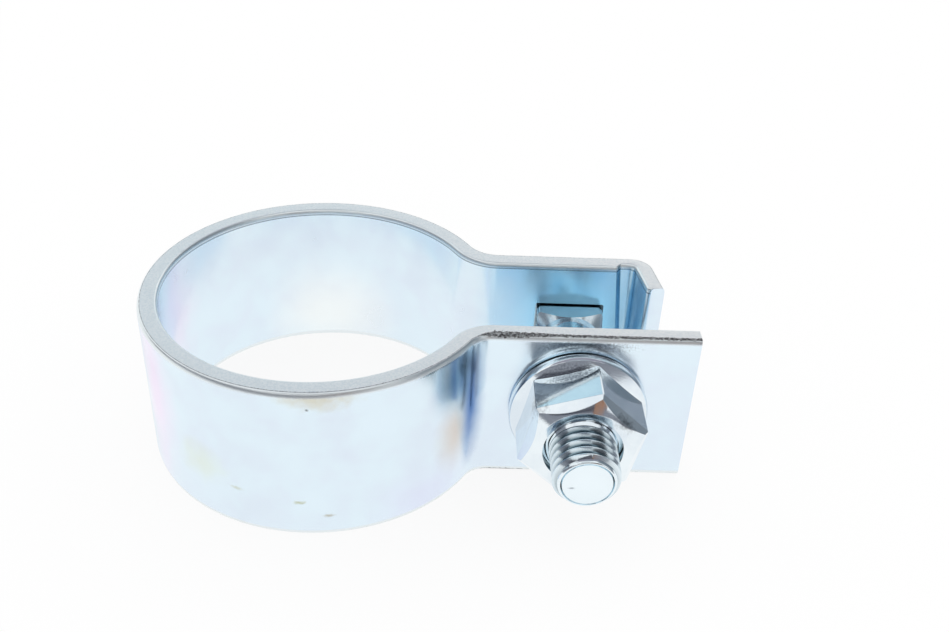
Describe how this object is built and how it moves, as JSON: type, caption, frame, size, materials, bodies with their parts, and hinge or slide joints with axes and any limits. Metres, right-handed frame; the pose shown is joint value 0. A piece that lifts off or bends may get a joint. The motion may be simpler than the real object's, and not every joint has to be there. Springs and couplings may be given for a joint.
{
  "type": "exhaust clamp",
  "caption": "Steel band clamp for an exhaust pipe: a round band with bent-out ears, drawn together by a carriage bolt and a flange nut.",
  "frame": {"origin": "middle of the bounding box at its base, which is the plane of the band's lower edge", "axes": "+Z along the pipe's axis, +X from the ring out along the ears, +Y from the nut's ear to the bolt head's ear"},
  "size_m": [0.0846, 0.0566, 0.026],
  "materials": {
    "band_zinc": "bright blue-white zinc plate, smooth with faint handling marks",
    "bolt_zinc": "bright zinc plate on a rolled thread",
    "nut_zinc": "bright zinc plate on a cold-formed nut"
  },
  "bodies": {
    "band": {"band": "band_zinc"},
    "bolt": {"carriage_bolt": "bolt_zinc"},
    "nut": {"flange_nut": "nut_zinc"}
  },
  "joints": [
    {"name": "nut_turn", "type": "hinge", "parent": "band", "child": "nut", "pos_m": [0.025, -0.0115, 0.013], "axis": [0, -1, 0], "range_deg": [0, 3600]},
    {"name": "bolt_slide", "type": "slide", "parent": "band", "child": "bolt", "axis": [0, 1, 0], "range_m": [0, 0.015]}
  ],
  "couplings": [
    {"joint": "nut_turn", "follows": "bolt_slide", "rad_per_m": 4188.8}
  ]
}
